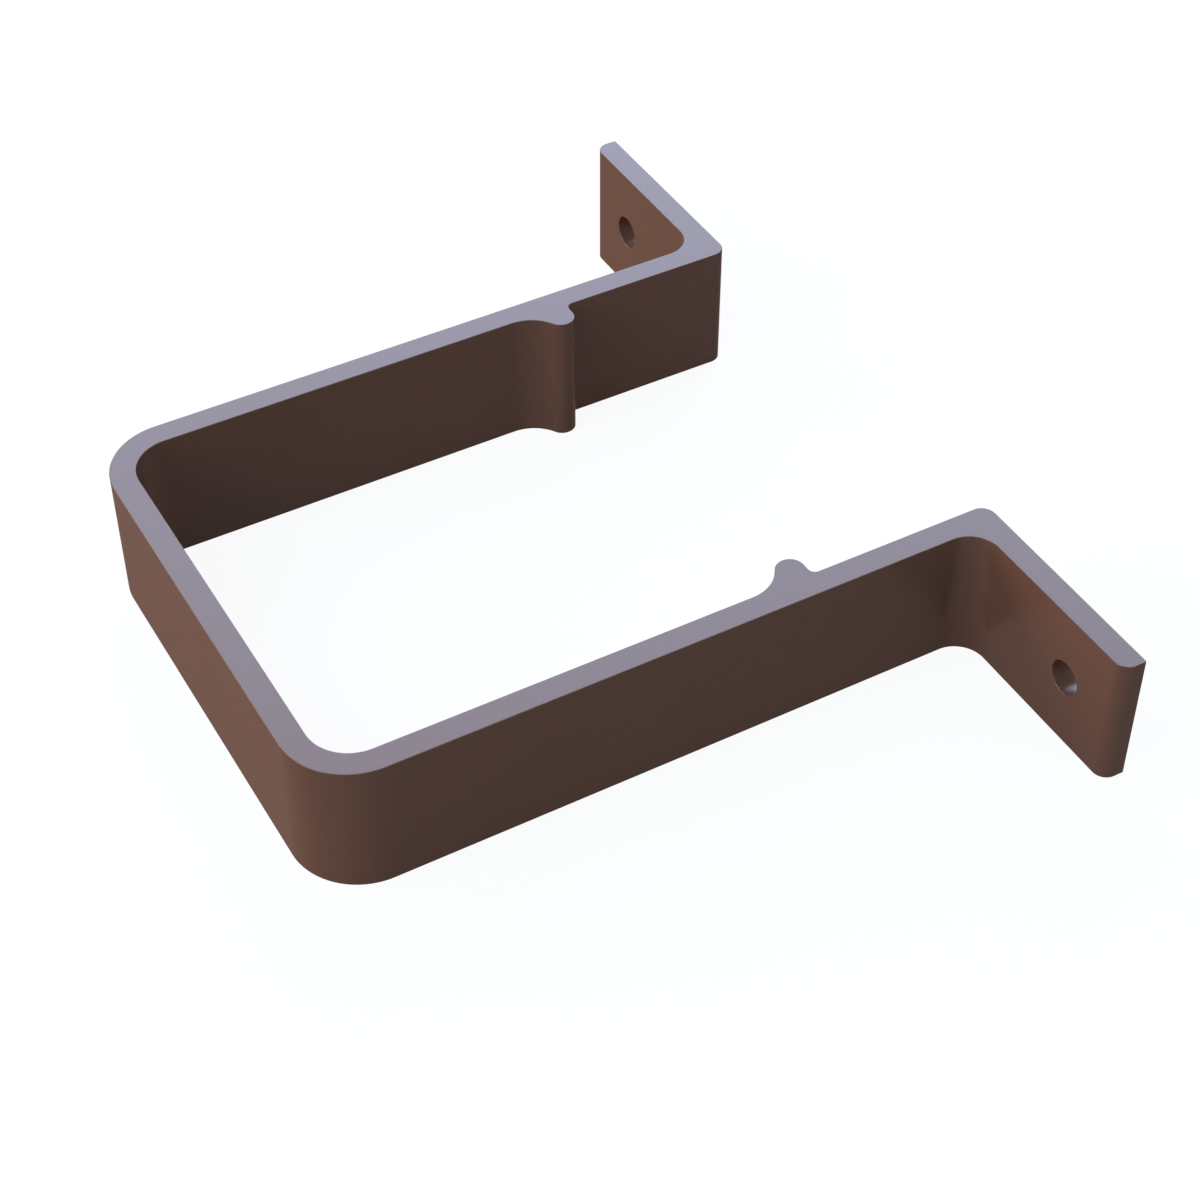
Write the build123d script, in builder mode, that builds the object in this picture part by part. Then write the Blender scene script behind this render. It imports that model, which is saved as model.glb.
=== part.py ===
from build123d import *
import math
import os

# A clip that holds a square downpipe off a wall, moulded in one piece: a U-shaped strap
# round the pipe, a fixing flange turned outwards at the wall end of each arm, and a nib
# inside each arm that keeps the pipe in.
#
# X runs along the wall. The wall's face is the plane Y = 0, and the wall lies beyond it,
# on the +Y side. Z runs up the pipe. The origin is midway between the two screw holes,
# on the wall's face. All lengths are in millimetres.

# The square pipe that the clip is made for, and how far it stands off the wall
pipe_side = 65.0
pipe_corner_radius = 6.0
pipe_to_wall = 30.1

# The strap
strap_thickness = 3.55
strap_height = 20.0
edge_break = 0.2

# The fixing flanges, with the bends that join them to the arms
flange_length = 30.0
flange_tip_radius = 2.0
bend_radius_front = 4.2
bend_radius_wall = 2.0

# The screw hole in each flange
hole_diameter = 5.0
hole_to_flange_tip = 10.0

# The nibs
nib_depth = 4.0
nib_tip_radius = 2.0
nib_root_radius = 1.0

# Faces of the strap, worked out from the pipe
arm_inside = pipe_side / 2
arm_outside = arm_inside + strap_thickness
flange_tip = arm_outside + flange_length
flange_front = -strap_thickness
pipe_front = -pipe_to_wall
pipe_back = pipe_front - pipe_side
strap_back = pipe_back - strap_thickness

# Centres of the pipe's two corner arcs on the +X side
corner_x = arm_inside - pipe_corner_radius
back_corner_y = pipe_back + pipe_corner_radius
front_corner_y = pipe_front - pipe_corner_radius
strap_corner_radius = pipe_corner_radius + strap_thickness

# The nib follows the pipe's front corner and then rounds over into its tip. The two arcs
# touch, so their centres lie one radius plus the other apart.
nib_tip_x = arm_inside - nib_depth + nib_tip_radius
nib_arc_spacing = pipe_corner_radius + nib_tip_radius
nib_tip_y = front_corner_y + math.sqrt(nib_arc_spacing**2 - (nib_tip_x - corner_x) ** 2)
nib_wall_side = nib_tip_y + nib_tip_radius
wrap_angle = math.degrees(math.atan2(nib_tip_y - front_corner_y, nib_tip_x - corner_x))

# Centres of the arcs at the nib's root, at the bend into the flange and at the flange's tip
nib_root_x = arm_inside - nib_root_radius
nib_root_y = nib_wall_side + nib_root_radius
wall_bend_x = arm_inside + bend_radius_wall
front_bend_x = arm_outside + bend_radius_front
front_bend_y = flange_front - bend_radius_front
tip_arc_x = flange_tip - flange_tip_radius
tip_arc_y = flange_front + flange_tip_radius

hole_spacing = 2 * (flange_tip - hole_to_flange_tip)

with BuildPart() as clip:
    # The strap's section: its +X half is drawn, then mirrored
    with BuildSketch(Plane.XY.offset(-strap_height / 2)) as section:
        with BuildLine() as half_outline:
            Line((0, pipe_back), (corner_x, pipe_back))
            CenterArc((corner_x, back_corner_y), pipe_corner_radius, 270, 90)
            Line((arm_inside, back_corner_y), (arm_inside, front_corner_y))
            # The nib: round the pipe's corner, over the tip, and square back to the arm
            CenterArc((corner_x, front_corner_y), pipe_corner_radius, 0, wrap_angle)
            CenterArc((nib_tip_x, nib_tip_y), nib_tip_radius, 90, 90 + wrap_angle)
            Line((nib_tip_x, nib_wall_side), (nib_root_x, nib_wall_side))
            CenterArc((nib_root_x, nib_root_y), nib_root_radius, 270, 90)
            Line((arm_inside, nib_root_y), (arm_inside, -bend_radius_wall))
            CenterArc((wall_bend_x, -bend_radius_wall), bend_radius_wall, 90, 90)
            # The flange: out along the wall, round the front edge of its tip and back
            Line((wall_bend_x, 0), (flange_tip, 0))
            Line((flange_tip, 0), (flange_tip, tip_arc_y))
            CenterArc((tip_arc_x, tip_arc_y), flange_tip_radius, 270, 90)
            Line((tip_arc_x, flange_front), (front_bend_x, flange_front))
            # The outside face: round the bend, down the arm and round to the middle of the back
            CenterArc((front_bend_x, front_bend_y), bend_radius_front, 90, 90)
            Line((arm_outside, front_bend_y), (arm_outside, back_corner_y))
            CenterArc((corner_x, back_corner_y), strap_corner_radius, 270, 90)
            Line((corner_x, strap_back), (0, strap_back))
            Line((0, strap_back), (0, pipe_back))
        make_face()
        mirror(about=Plane.YZ)
    extrude(amount=strap_height)

    # The two cut ends of the strap have their edges just broken
    fillet(clip.faces().filter_by(Plane.XY).edges(), edge_break)

    # A plain screw hole through each flange, half way up it
    with Locations(Plane.XZ.offset(strap_thickness)):
        with GridLocations(hole_spacing, 0, 2, 1):
            Hole(hole_diameter / 2)

clip.part.label = "clip"

os.makedirs("parts", exist_ok=True)
export_step(clip.part, "parts/clip.step")
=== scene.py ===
# %% [markdown]
# # A downpipe clip in brown plastic
# The object is one strap of semi-gloss brown plastic. It goes round three sides of a square
# downpipe and is screwed to the wall through a flange at the end of each arm. It has the same
# section all the way up, so the whole form can be told as one outline and one height.
#
# The imported clip comes first. It fixes where everything is, and its box gives how far the
# flanges, the back and the top reach.

# %% Load the imported clip
import math

import bpy
import numpy as np
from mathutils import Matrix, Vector


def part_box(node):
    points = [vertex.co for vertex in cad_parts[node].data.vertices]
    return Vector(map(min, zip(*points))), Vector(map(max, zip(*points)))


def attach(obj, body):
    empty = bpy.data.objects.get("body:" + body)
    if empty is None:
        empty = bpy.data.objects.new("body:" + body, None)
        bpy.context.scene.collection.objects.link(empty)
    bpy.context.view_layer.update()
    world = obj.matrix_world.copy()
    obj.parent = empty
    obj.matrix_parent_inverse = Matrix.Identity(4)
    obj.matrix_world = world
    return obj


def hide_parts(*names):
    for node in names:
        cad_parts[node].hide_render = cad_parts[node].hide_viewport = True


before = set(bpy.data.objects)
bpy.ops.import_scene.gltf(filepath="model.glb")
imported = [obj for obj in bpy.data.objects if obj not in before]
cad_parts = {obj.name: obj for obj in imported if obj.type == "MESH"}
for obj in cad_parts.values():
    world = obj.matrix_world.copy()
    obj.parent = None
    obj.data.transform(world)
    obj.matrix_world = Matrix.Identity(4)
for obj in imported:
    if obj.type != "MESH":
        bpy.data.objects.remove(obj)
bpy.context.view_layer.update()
clip_low, clip_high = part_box("clip")
mm = 0.001
print("clip box, mm:", [round(size / mm, 2) for size in clip_high - clip_low])

# %% [markdown]
# ## The sizes of the section
# A few sizes drive the outline. The pipe gives the inside of the strap, and the box of the
# packed clip gives how far the flanges and the back reach. The edges of the two flat ends are
# not knife sharp on the real thing, and a tiny round there is what lets an edge catch light.

# %% Sizes that drive the outline
pipe_side = 65.0 * mm
pipe_corner_radius = 6.0 * mm
strap_thickness = 3.55 * mm
flange_tip_radius = 2.0 * mm
bend_radius_front = 4.2 * mm
bend_radius_wall = 2.0 * mm
nib_depth = 4.0 * mm
nib_tip_radius = 2.0 * mm
nib_root_radius = 1.0 * mm
hole_radius = 2.5 * mm
hole_to_flange_tip = 10.0 * mm
edge_round = 0.1 * mm
flange_corner_round = 0.25 * mm

arm_inside = pipe_side / 2
arm_outside = arm_inside + strap_thickness
flange_tip = clip_high.x
flange_front = -strap_thickness
strap_back = clip_low.y
pipe_back = strap_back + strap_thickness
pipe_front = pipe_back + pipe_side
half_height = clip_high.z
print("pipe held", round(-pipe_front / mm, 2), "mm off the wall")

# %% [markdown]
# ## Lines and arcs
# An outline is a chain of stretches, each a line or an arc. Every stretch gives its points and,
# at each point, the direction that faces out of the plastic. The outline is walked with the
# plastic on the right hand, so that direction is always a quarter turn to the left of the walk.
#
# An extruded curve would be quicker to make. But its normals are averaged from its faces, and
# those bend the reflections beside each arc. Exact directions leave the flat faces flat.

# %% Helpers for the two kinds of stretch
degrees_per_step = 4.0
fewest_arc_steps = 4


def line_stretch(start, end, steps=1):
    """Points start + t (end - start) for even t from 0 to 1, all facing left of the walk."""
    start = np.array(start)
    end = np.array(end)
    t = np.linspace(0, 1, steps + 1)[:, None]
    along = (end - start) / np.linalg.norm(end - start)
    facing = np.array([-along[1], along[0]])
    return start + t * (end - start), np.repeat(facing[None], steps + 1, axis=0)


def arc_stretch(centre, radius, first, last):
    """Points centre + radius (cos a, sin a), a in even steps from first to last degrees.
    An arc walked anticlockwise is hollow and faces its centre, a clockwise one faces away."""
    steps = max(fewest_arc_steps, math.ceil(abs(last - first) / degrees_per_step))
    a = np.radians(np.linspace(first, last, steps + 1))
    spoke = np.stack([np.cos(a), np.sin(a)], axis=1)
    facing = spoke if last < first else -spoke
    return np.array(centre) + radius * spoke, facing


print("degrees between the points of an arc, at most:", degrees_per_step)

# %% [markdown]
# ## The outline of the strap
# One half is walked from the middle of the strap's back: along the inside, over the nib, out
# along the wall, round the flange's tip, and home along the outside. The nib has no sizes of
# its own for its long curve. It follows the corner of the pipe, and its round tip just touches
# that arc, so the two centres are one radius plus the other apart.
#
# Each face of the flange is walked in three lines. The middle one is a panel with many points,
# and the screw hole will go through it.

# %% Walk the right half of the outline
corner_x = arm_inside - pipe_corner_radius
back_corner = np.array([corner_x, pipe_back + pipe_corner_radius])
front_corner = np.array([corner_x, pipe_front - pipe_corner_radius])
nib_tip_x = arm_inside - nib_depth + nib_tip_radius
nib_rise = math.sqrt((pipe_corner_radius + nib_tip_radius) ** 2 - (nib_tip_x - corner_x) ** 2)
nib_tip = np.array([nib_tip_x, front_corner[1] + nib_rise])
nib_flank = nib_tip[1] + nib_tip_radius
wrap_angle = math.degrees(math.atan2(nib_rise, nib_tip_x - corner_x))

hole_x = flange_tip - hole_to_flange_tip
panel_half = hole_to_flange_tip - flange_tip_radius
panel_columns = 16
panel_near = hole_x - panel_half
panel_far = hole_x + panel_half


def half_outline():
    """The stretches of the +X half, in walking order. The two marked True hold the screw hole."""
    outer_corner_radius = pipe_corner_radius + strap_thickness
    nib_root = (arm_inside - nib_root_radius, nib_flank + nib_root_radius)
    wall_bend = (arm_inside + bend_radius_wall, -bend_radius_wall)
    tip_corner = (flange_tip - flange_corner_round, -flange_corner_round)
    tip_round = (flange_tip - flange_tip_radius, flange_front + flange_tip_radius)
    front_bend = (arm_outside + bend_radius_front, flange_front - bend_radius_front)
    return [
        (line_stretch((0, pipe_back), (corner_x, pipe_back)), False),
        (arc_stretch(back_corner, pipe_corner_radius, -90, 0), False),
        (line_stretch((arm_inside, back_corner[1]), (arm_inside, front_corner[1])), False),
        (arc_stretch(front_corner, pipe_corner_radius, 0, wrap_angle), False),
        (arc_stretch(nib_tip, nib_tip_radius, 180 + wrap_angle, 90), False),
        (line_stretch((nib_tip_x, nib_flank), (nib_root[0], nib_flank)), False),
        (arc_stretch(nib_root, nib_root_radius, -90, 0), False),
        (line_stretch((arm_inside, nib_root[1]), (arm_inside, wall_bend[1])), False),
        (arc_stretch(wall_bend, bend_radius_wall, 180, 90), False),
        (line_stretch((wall_bend[0], 0), (panel_near, 0)), False),
        (line_stretch((panel_near, 0), (panel_far, 0), panel_columns), True),
        (line_stretch((panel_far, 0), (tip_corner[0], 0)), False),
        (arc_stretch(tip_corner, flange_corner_round, 90, 0), False),
        (line_stretch((flange_tip, tip_corner[1]), (flange_tip, tip_round[1])), False),
        (arc_stretch(tip_round, flange_tip_radius, 0, -90), False),
        (line_stretch((panel_far, flange_front), (panel_near, flange_front), panel_columns), True),
        (line_stretch((panel_near, flange_front), (front_bend[0], flange_front)), False),
        (arc_stretch(front_bend, bend_radius_front, 90, 180), False),
        (line_stretch((arm_outside, front_bend[1]), (arm_outside, back_corner[1])), False),
        (arc_stretch(back_corner, outer_corner_radius, 0, -90), False),
        (line_stretch((corner_x, strap_back), (0, strap_back)), False),
    ]


right_half = half_outline()
print("stretches in the half outline:", len(right_half))

# %% [markdown]
# ## Up the strap
# Going up, the surface rounds over the lower edge, runs straight, and rounds over the upper
# edge. A row is a height, how far it is drawn in, and how its facing leans between outwards and
# up or down. Rows and stretches are crossed into grids, each a function of two parameters.
#
# A Bevel modifier could round the edges as well. Worked out here, the rounds keep exact normals
# like the faces beside them.

# %% Rows up the strap and the grid of one stretch
straight_rows = 20
edge_steps = 4


def height_rows():
    """For each row: its height z, how far it is drawn in, and its facing as (outward, up).
    Each row lies on an arc about a core: z = core + edge_round up, and the row is drawn in by
    edge_round (1 - outward). On the straight part up is 0, so nothing is drawn in there."""
    flat = half_height - edge_round
    lean = np.radians(np.linspace(-90, 0, edge_steps + 1))
    straight = np.linspace(-flat, flat, straight_rows + 1)[1:-1]
    core = np.concatenate([np.full(len(lean), -flat), straight, np.full(len(lean), flat)])
    up = np.concatenate([np.sin(lean), np.zeros(len(straight)), -np.sin(lean[::-1])])
    outward = np.sqrt(1 - up**2)
    return core + edge_round * up, edge_round * (1 - outward), outward, up


def stretch_grid(points, facing):
    """Grid (row, column) of places and normals: place = point - drawn_in facing, at height z."""
    z, drawn_in, outward, up = height_rows()
    plan = points[None] - drawn_in[:, None, None] * facing[None]
    places = np.concatenate([plan, np.repeat(z[:, None, None], len(points), axis=1)], axis=2)
    sideways = outward[:, None, None] * facing[None]
    normals = np.concatenate([sideways, np.repeat(up[:, None, None], len(points), axis=1)], axis=2)
    return places, normals


print("rows up the strap:", len(height_rows()[0]))

# %% [markdown]
# ## The flange round its screw hole
# A Boolean modifier could cut the hole, but it leaves long thin triangles and drops the exact
# normals. A flat panel with a round hole is a grid too. One parameter goes round the panel's
# border, and the other goes from the hole's mouth out to that border. The border uses the same
# points as the grids beside it, so the seam closes when points are merged.

# %% The panel's border, the face round the hole, and the bore
mouth_round = 0.15 * mm
panel_rings = 6


def border_points():
    """Points round the panel, as (x from the hole, z), anticlockwise from its lower left."""
    x = np.linspace(-panel_half, panel_half, panel_columns + 1)
    flat = half_height - edge_round
    z = np.linspace(-flat, flat, straight_rows + 1)
    low = np.stack([x[:-1], np.full(panel_columns, -flat)], axis=1)
    right = np.stack([np.full(straight_rows, panel_half), z[:-1]], axis=1)
    high = np.stack([x[:0:-1], np.full(panel_columns, flat)], axis=1)
    left = np.stack([np.full(straight_rows, -panel_half), z[:0:-1]], axis=1)
    loop = np.concatenate([low, right, high, left])
    return np.concatenate([loop, loop[:1]])


def border_spokes(border):
    """The direction of each border point from the hole's middle, as a vector of length 1."""
    return border / np.linalg.norm(border, axis=1)[:, None]


def hole_face(y, facing_y):
    """Grid (ring, border point) on the plane y: mouth circle + t^2 (border - mouth circle)."""
    border = border_points()
    mouth = (hole_radius + mouth_round) * border_spokes(border)
    t = np.linspace(0, 1, panel_rings + 1)[:, None, None]
    flat = mouth[None] + t**2 * (border - mouth)[None]
    places = np.stack([hole_x + flat[..., 0], np.full(flat.shape[:2], y), flat[..., 1]], axis=2)
    normals = np.zeros_like(places)
    normals[..., 1] = facing_y
    return places, normals


def hole_bore():
    """Grid (step along, border point): the bore, with a quarter round at either mouth. There
    the radius is hole_radius + mouth_round (1 - sin turn), and the place lies
    mouth_round (1 - cos turn) inside the flange's face."""
    spoke = border_spokes(border_points())
    turn = np.radians(np.linspace(0, 90, edge_steps + 1))
    back_turn = turn[::-1]
    inward = np.concatenate([np.sin(turn), np.sin(back_turn)])
    facing_y = np.concatenate([-np.cos(turn), np.cos(back_turn)])
    radius = hole_radius + mouth_round * (1 - inward)
    y = np.concatenate([
        flange_front + mouth_round * (1 - np.cos(turn)),
        -mouth_round * (1 - np.cos(back_turn)),
    ])
    around = radius[:, None, None] * spoke[None]
    depth = np.repeat(y[:, None], len(spoke), axis=1)
    places = np.stack([hole_x + around[..., 0], depth, around[..., 1]], axis=2)
    normals = np.stack([
        -inward[:, None] * spoke[None, :, 0],
        np.repeat(facing_y[:, None], len(spoke), axis=1),
        -inward[:, None] * spoke[None, :, 1],
    ], axis=2)
    return places, normals


print("points round each hole:", len(border_points()) - 1)

# %% [markdown]
# ## Sewing the grids together
# Each grid becomes faces of four corners. Whether a face looks out is read from its own points:
# the cross product of its diagonals must agree with the facing kept for its corners. The other
# half of the clip is the same surface mirrored, and its faces are wound the other way round.

# %% Grids to faces, the mirror, and the merge
same_place = 0.0001 * mm


def grid_faces(rows, columns, first):
    """Corner numbers of every cell of a grid whose points are numbered from first."""
    number = first + np.arange(rows * columns).reshape(rows, columns)
    cells = [number[:-1, :-1], number[:-1, 1:], number[1:, 1:], number[1:, :-1]]
    return np.stack([corner.ravel() for corner in cells], axis=1)


def face_out(places, normals, faces):
    """Faces with their corners reversed wherever they look against the normals."""
    diagonal_a = places[faces[:, 2]] - places[faces[:, 0]]
    diagonal_b = places[faces[:, 3]] - places[faces[:, 1]]
    agreement = (np.cross(diagonal_a, diagonal_b) * normals[faces].mean(axis=1)).sum(axis=1)
    return np.where(agreement[:, None] < 0, faces[:, ::-1], faces)


def sew(grids):
    """All grids as one array each of places, normals and faces, with the mirrored half added."""
    all_places = []
    all_normals = []
    all_faces = []
    first = 0
    for places, normals in grids:
        rows, columns = places.shape[:2]
        all_faces.append(grid_faces(rows, columns, first))
        all_places.append(places.reshape(-1, 3))
        all_normals.append(normals.reshape(-1, 3))
        first += rows * columns
    flip = np.array([-1, 1, 1])
    places = np.concatenate(all_places)
    normals = np.concatenate(all_normals)
    faces = np.concatenate(all_faces)
    places = np.concatenate([places, places * flip])
    normals = np.concatenate([normals, normals * flip])
    faces = np.concatenate([faces, faces + first])
    return places, normals, face_out(places, normals, faces)


def merge(places, normals, corners):
    """One point for each place: places are rounded to whole steps and equal ones are joined."""
    cell = np.round(places / same_place).astype(np.int64)
    kept, number = np.unique(cell, axis=0, return_index=True, return_inverse=True)[1:]
    return places[kept], normals[kept], number.ravel()[corners]


print("points are joined when they agree to, mm:", same_place / mm)

# %% [markdown]
# ## The finished strap
# The panels of the wall face and of the front face that hold the hole are left out of the plain
# grids, apart from their rounded edges, and the faces round the hole take their place. The two
# flat ends are single faces that fill the outline. A fan of triangles would do that too, but it
# would need a point in the middle, and the outline has no middle that sees all of it.

# %% Make the strap's mesh
def side_grids():
    """Every grid of the +X half: the stretches, and the faces and bore of the screw hole."""
    grids = []
    edge_rows = edge_steps + 1
    for (points, facing), holds_hole in right_half:
        places, normals = stretch_grid(points, facing)
        if holds_hole:
            grids.append((places[:edge_rows], normals[:edge_rows]))
            grids.append((places[-edge_rows:], normals[-edge_rows:]))
        else:
            grids.append((places, normals))
    grids.append(hole_face(0.0, 1.0))
    grids.append(hole_face(flange_front, -1.0))
    grids.append(hole_bore())
    return grids


def end_loop(height):
    """Points of a flat end, once round the whole outline at that height."""
    right = np.concatenate([points - edge_round * facing for (points, facing), _ in right_half])
    left = right[::-1] * np.array([-1, 1])
    loop = np.concatenate([right, left])
    step = np.linalg.norm(loop - np.roll(loop, 1, axis=0), axis=1)
    loop = loop[step > same_place]
    return np.concatenate([loop, np.full((len(loop), 1), height)], axis=1)


def strap_mesh():
    """A closed mesh of the strap, with exact normals."""
    places, normals, faces = sew(side_grids())
    upper = end_loop(half_height)[::-1]
    lower = end_loop(-half_height)
    up = np.array([[0, 0, 1.0]])
    upper_normals = np.repeat(up, len(upper), axis=0)
    lower_normals = np.repeat(-up, len(lower), axis=0)
    upper_face = len(places) + np.arange(len(upper))
    lower_face = len(places) + len(upper) + np.arange(len(lower))
    corners = np.concatenate([faces.ravel(), upper_face, lower_face])
    places = np.concatenate([places, upper, lower])
    normals = np.concatenate([normals, upper_normals, lower_normals])
    places, normals, corners = merge(places, normals, corners)
    side_corners = corners[: faces.size].reshape(-1, 4)
    ends = np.split(corners[faces.size:], [len(upper)])
    polygons = side_corners.tolist() + [end.tolist() for end in ends]
    mesh = bpy.data.meshes.new("strap")
    mesh.from_pydata(places.tolist(), [], polygons)
    mesh.polygons.foreach_set("use_smooth", [True] * len(mesh.polygons))
    mesh.normals_split_custom_set_from_vertices(normals.tolist())
    mesh.update()
    return mesh


def volume_of(mesh):
    """Volume inside a closed mesh: a sixth of the sum of a . (b x c) over its triangles."""
    mesh.calc_loop_triangles()
    place = np.array([vertex.co for vertex in mesh.vertices])
    corner = np.array([triangle.vertices for triangle in mesh.loop_triangles])
    a, b, c = (place[corner[:, side]] for side in range(3))
    return (a * np.cross(b, c)).sum() / 6


strap = bpy.data.objects.new("clip_strap", strap_mesh())
bpy.context.scene.collection.objects.link(strap)
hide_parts("clip")
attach(strap, "root")
print("faces:", len(strap.data.polygons))
print("volume, cubic mm:", round(volume_of(strap.data) / mm**3, 1))

# %% [markdown]
# ## Shader maths as Python
# A finish is easier to read as a formula than as a web of nodes. A Wire wraps one socket, and
# its operators add Math nodes, so that a formula such as 1 - mask * 0.2 builds itself. Colours
# have three parts, which a Math node would turn into one, so they are mixed by a Mix node.

# %% A class for wires, one for materials, and two helpers for colours
class Wire:
    """A socket that carries a number, with Python's operators turned into Math nodes."""

    def __init__(self, finish, socket):
        self.finish = finish
        self.socket = socket

    def maths(self, operation, first, second):
        """The result of a new Math node, such as first + second for ADD."""
        made = self.finish.node("ShaderNodeMath", {"operation": operation}, {0: first, 1: second})
        return made["Value"]

    def __add__(self, other):
        return self.maths("ADD", self, other)

    def __radd__(self, other):
        return self.maths("ADD", other, self)

    def __sub__(self, other):
        return self.maths("SUBTRACT", self, other)

    def __rsub__(self, other):
        return self.maths("SUBTRACT", other, self)

    def __mul__(self, other):
        return self.maths("MULTIPLY", self, other)

    def __rmul__(self, other):
        return self.maths("MULTIPLY", other, self)


class Finish:
    """A node tree that is filled by one method, for a material or for the world."""

    def __init__(self, owner):
        owner.use_nodes = True
        self.tree = owner.node_tree
        self.tree.nodes.clear()

    def node(self, kind, settings=None, sockets=None):
        """Adds a node, makes its settings, then sets or links its sockets; gives its outputs."""
        made = self.tree.nodes.new(kind)
        for name, value in (settings or {}).items():
            setattr(made, name, value)
        for name, value in (sockets or {}).items():
            if isinstance(value, Wire):
                self.tree.links.new(value.socket, made.inputs[name])
            else:
                made.inputs[name].default_value = value
        return {output.name: Wire(self, output) for output in made.outputs if output.enabled}


def mixed_colour(finish, factor, first, second):
    """The colour first + factor (second - first), with the factor kept between 0 and 1."""
    sockets = {"Factor": factor, "A": first, "B": second}
    return finish.node("ShaderNodeMix", {"data_type": "RGBA"}, sockets)["Result"]


def srgb(red, green, blue):
    """A colour from its 0 to 255 values, as the linear numbers that a shader takes. These are
    the constants of the sRGB curve: nearly a power of 2.4, with a straight foot."""
    coded = np.array([red, green, blue]) / 255
    linear = np.where(coded <= 0.04045, coded / 12.92, ((coded + 0.055) / 1.055) ** 2.4)
    return (*linear.tolist(), 1.0)


print("mid grey as a linear number:", round(srgb(128, 128, 128)[0], 3))

# %% [markdown]
# ## Brown plastic
# The plastic is coloured through and has a smooth, semi-gloss skin. One even colour would look
# like paint from a tin, so three things vary. The pigment is a little cloudy. Faint lines run
# up the faces, along the way that the clip slid out of its mould, and those faces are a little
# glossier than the flat ends, which have no lines. And the skin is very slightly uneven, which
# softens reflections.
#
# Noise makes all three. The lines are noise of the skin's grain, drawn out along Z. How far a
# face stands upright is side = 1 - z^2, with z from its normal: 1 on the upright faces, and 0 on
# the flat ends.

# %% The brown plastic
darker_brown = srgb(105, 68, 54)
lighter_brown = srgb(110, 72, 58)
clouds_per_metre = 70.0
grains_per_metre = 900.0
lines_longer_by = 50
even_roughness = 0.27
cloud_roughness = 0.03
skin_roughness = 0.04
line_roughness = 0.04
side_polish = 0.07
skin_relief = 0.2
relief_depth = 0.03 * mm
relief_strength = 0.8
plastic_ior = 1.5


def brown_plastic():
    """Principled plastic, by three noises that each run from 0 to 1 and the share side:
    roughness = even + cloud part + skin part + (line part - side_polish) side, and
    relief = skin_relief skin + lines side, which goes through a Bump node."""
    material = bpy.data.materials.new("brown_plastic")
    finish = Finish(material)
    place = finish.node("ShaderNodeTexCoord")["Object"]
    facing = finish.node("ShaderNodeNewGeometry")["Normal"]
    facing_up = finish.node("ShaderNodeSeparateXYZ", None, {"Vector": facing})["Z"]
    side = 1 - facing_up * facing_up

    def noise(scale, detail, at=place):
        sockets = {"Vector": at, "Scale": scale, "Detail": detail}
        return finish.node("ShaderNodeTexNoise", None, sockets)["Fac"]

    drawn_out = {"Vector": place, "Scale": (1, 1, 1 / lines_longer_by)}
    along_lines = finish.node("ShaderNodeMapping", None, drawn_out)["Vector"]
    cloud = noise(clouds_per_metre, 3.0)
    skin = noise(grains_per_metre, 2.0)
    lines = noise(grains_per_metre, 3.0, along_lines)

    colour = mixed_colour(finish, cloud, darker_brown, lighter_brown)
    everywhere = even_roughness + cloud_roughness * cloud + skin_roughness * skin
    roughness = everywhere + (line_roughness * lines - side_polish) * side
    relief = skin_relief * skin + lines * side
    bump = {"Strength": relief_strength, "Distance": relief_depth, "Height": relief}
    bumped = finish.node("ShaderNodeBump", None, bump)["Normal"]
    skin_sockets = {
        "Base Color": colour,
        "Roughness": roughness,
        "IOR": plastic_ior,
        "Normal": bumped,
    }
    shader = finish.node("ShaderNodeBsdfPrincipled", None, skin_sockets)["BSDF"]
    finish.node("ShaderNodeOutputMaterial", None, {"Surface": shader})
    return material


strap.data.materials.append(brown_plastic())
print("material:", strap.data.materials[0].name)

# %% [markdown]
# ## Floor and surroundings
# The floor and all that lies beyond it are plain white to the camera. They are not lit up to
# white, because that would flood the clip with light. The camera is shown a white of strength 1
# instead, with a share of true shading left in the floor, so that the clip keeps its shadow.
#
# The clip itself sees a dim, warm room. Its sideways faces mirror the floor, and there the
# photograph has only a faint warm haze and no white. So gloss is shown the room's tone, and the
# world lights the clip with it too. The floor sends a little soft light up under the clip.

# %% The floor and the world
floor_half = 3000 * mm
floor_for_light = 0.35
floor_for_camera = 0.95
white_share = 0.93
room_tone = (0.24, 0.17, 0.15, 1.0)


def grey(level):
    """A colour with red, green and blue all at one level."""
    return (level, level, level, 1.0)


def shown_tone(finish, path):
    """White for camera and transmission rays, and the room's dim tone for all others."""
    white_to = path["Is Camera Ray"] + path["Is Transmission Ray"]
    return mixed_colour(finish, white_to, room_tone, grey(1))


def floor_material():
    """Shaded floor mixed with its shown tone. The tone's share is white_share for the camera,
    1 for gloss and transmission, and 0 for all other light."""
    material = bpy.data.materials.new("floor")
    finish = Finish(material)
    path = finish.node("ShaderNodeLightPath")
    on_camera = path["Is Camera Ray"]
    colour = mixed_colour(finish, on_camera, grey(floor_for_light), grey(floor_for_camera))
    shaded = finish.node("ShaderNodeBsdfDiffuse", None, {"Color": colour})["BSDF"]
    tone = finish.node("ShaderNodeEmission", None, {"Color": shown_tone(finish, path)})["Emission"]
    share = on_camera * white_share + path["Is Transmission Ray"] + path["Is Glossy Ray"]
    mixed = finish.node("ShaderNodeMixShader", None, {0: share, 1: shaded, 2: tone})["Shader"]
    finish.node("ShaderNodeOutputMaterial", None, {"Surface": mixed})
    return material


floor_z = clip_low.z
floor_corners = [(-1, -1), (1, -1), (1, 1), (-1, 1)]
floor_places = [(floor_half * x, floor_half * y, floor_z) for x, y in floor_corners]
floor_mesh = bpy.data.meshes.new("floor")
floor_mesh.from_pydata(floor_places, [], [(0, 1, 2, 3)])
floor = bpy.data.objects.new("floor", floor_mesh)
floor.data.materials.append(floor_material())
bpy.context.scene.collection.objects.link(floor)


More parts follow.
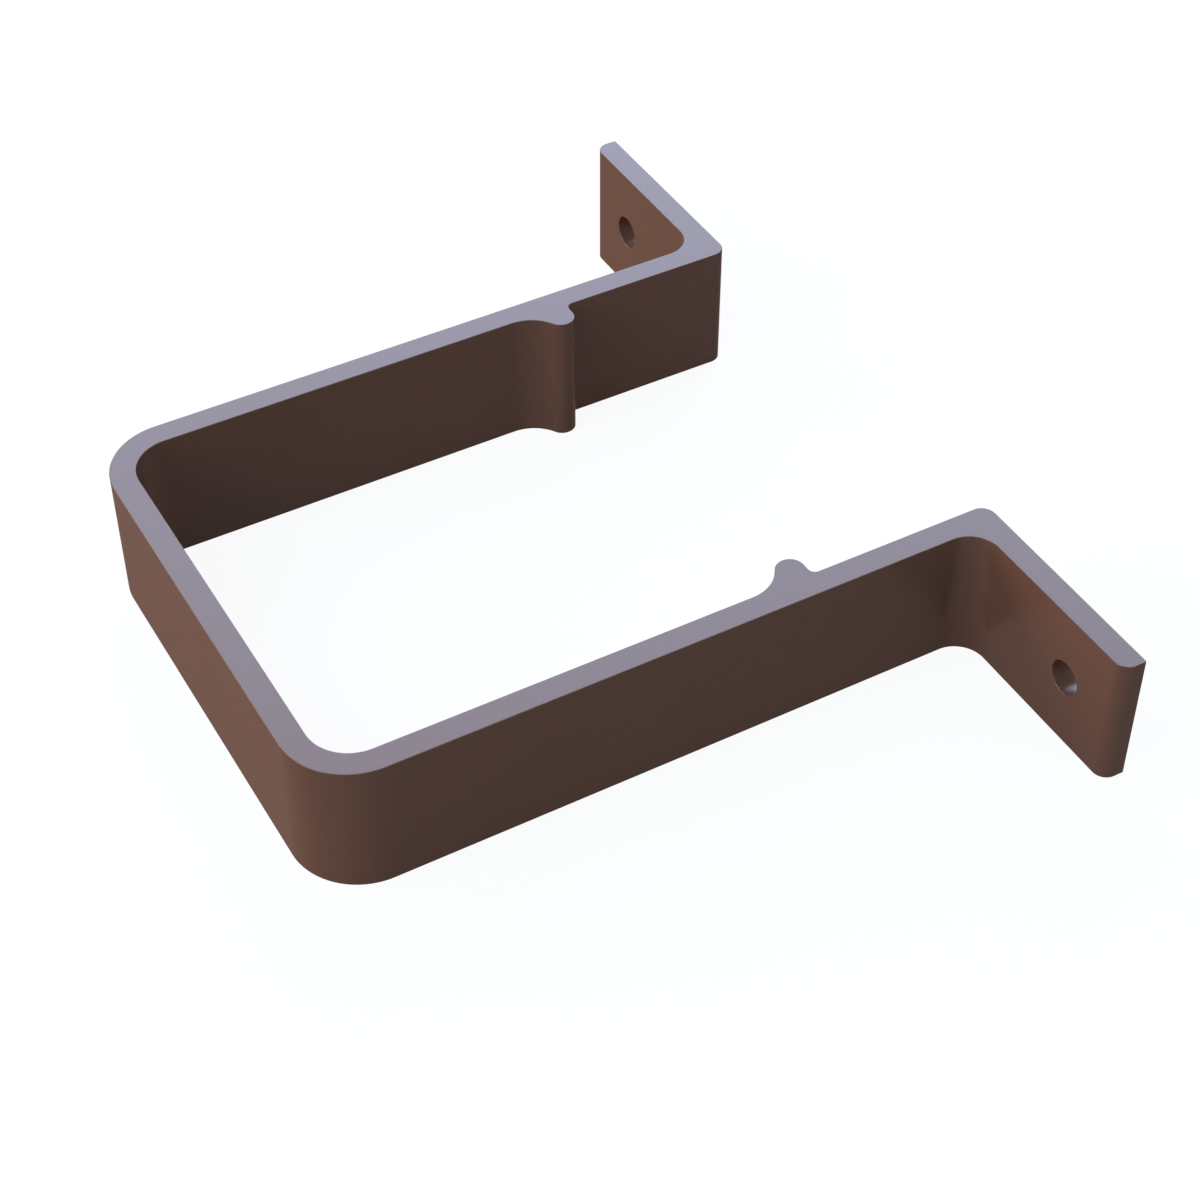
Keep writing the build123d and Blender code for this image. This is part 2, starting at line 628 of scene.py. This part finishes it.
def surroundings():
    """A world that looks white, and lights the clip with the room's dim tone only."""
    world = bpy.data.worlds.new("surroundings")
    finish = Finish(world)
    path = finish.node("ShaderNodeLightPath")
    tone = shown_tone(finish, path)
    background = finish.node("ShaderNodeBackground", None, {"Color": tone})["Background"]
    finish.node("ShaderNodeOutputWorld", None, {"Surface": background})
    return world


bpy.context.scene.world = surroundings()
print("floor at z, mm:", round(floor_z / mm, 2))

# %% [markdown]
# ## Studio light
# The photograph shows which way the light comes from. The faces towards the front are the
# brightest of the sides, so two warm boxes stand there, one in front and one to its left. The
# upward faces and the arms' outer faces are a little cooler than those, so a cool box hangs high
# over the front and a weak one stands to the right. The upward faces are also pale lavender,
# although the plastic is brown. That is no colour of the plastic: it is a large cool softbox
# behind the clip, mirrored in them at a low angle.
#
# Each softbox is a square lamp whose brightness is given as radiance, so that a box that is
# seen in gloss looks as bright as its number, whatever its size.

# %% Lamps
middle = (clip_low + clip_high) / 2


def direction(azimuth, elevation):
    """The way to a place seen from the clip, (sin a cos e, -cos a cos e, sin e).
    Azimuth 0 is the front, -Y, and 90 is +X."""
    a = math.radians(azimuth)
    e = math.radians(elevation)
    return Vector((math.sin(a) * math.cos(e), -math.cos(a) * math.cos(e), math.sin(e)))


def softbox(name, azimuth, elevation, distance, size, radiance, colour):
    """A square lamp of even radiance, turned to the clip. Its distance and size are in metres,
    and its power is pi times area times radiance."""
    lamp = bpy.data.lights.new(name, "AREA")
    lamp.shape = "SQUARE"
    lamp.size = size
    lamp.energy = math.pi * size**2 * radiance
    lamp.color = colour
    holder = bpy.data.objects.new(name, lamp)
    way = direction(azimuth, elevation)
    holder.location = middle + way * distance
    holder.rotation_euler = way.to_track_quat("Z", "Y").to_euler()
    holder.visible_camera = False
    bpy.context.scene.collection.objects.link(holder)
    print(name, "watts:", round(lamp.energy, 2))


softbox(
    "front_softbox", azimuth=5, elevation=30, distance=1.0, size=0.5,
    radiance=5.4, colour=(1.0, 0.94, 0.86),
)
softbox(
    "left_softbox", azimuth=310, elevation=22, distance=1.0, size=0.6,
    radiance=5.1, colour=(1.0, 0.92, 0.75),
)
softbox(
    "high_softbox", azimuth=5, elevation=55, distance=1.0, size=0.5,
    radiance=7.2, colour=(0.16, 0.66, 1.0),
)
softbox(
    "right_softbox", azimuth=100, elevation=30, distance=0.6, size=0.36,
    radiance=2.4, colour=(0.32, 0.78, 1.0),
)
softbox(
    "back_softbox", azimuth=240, elevation=32.5, distance=1.0, size=0.95,
    radiance=5.6, colour=(0.49, 0.69, 1.0),
)

# %% [markdown]
# ## The camera
# The photograph looks down on the clip from its open side. The clip's own parallel edges give
# the camera: its direction, its distance, the point it looks at and its lens. The lens is told
# as a share of the picture's width, so that it holds for any size of picture.

# %% The camera
camera_azimuth = 60.62
camera_elevation = 43.56
camera_distance = 327.75 * mm
look_at = Vector((14.34, -47.96, -0.03)) * mm
picture_pixels = 1200
focal_pixels = 2487.33
sensor_width = 36.0

camera = bpy.data.objects.new("camera", bpy.data.cameras.new("camera"))
camera.data.sensor_width = sensor_width
camera.data.lens = sensor_width * focal_pixels / picture_pixels
camera.data.clip_start = 10 * mm
camera.data.clip_end = 20000 * mm
towards_camera = direction(camera_azimuth, camera_elevation)
camera.location = look_at + towards_camera * camera_distance
camera.rotation_euler = towards_camera.to_track_quat("Z", "Y").to_euler()
bpy.context.scene.collection.objects.link(camera)
bpy.context.scene.camera = camera
bpy.context.scene.view_settings.view_transform = "Standard"
print("lens, mm:", round(camera.data.lens, 2))
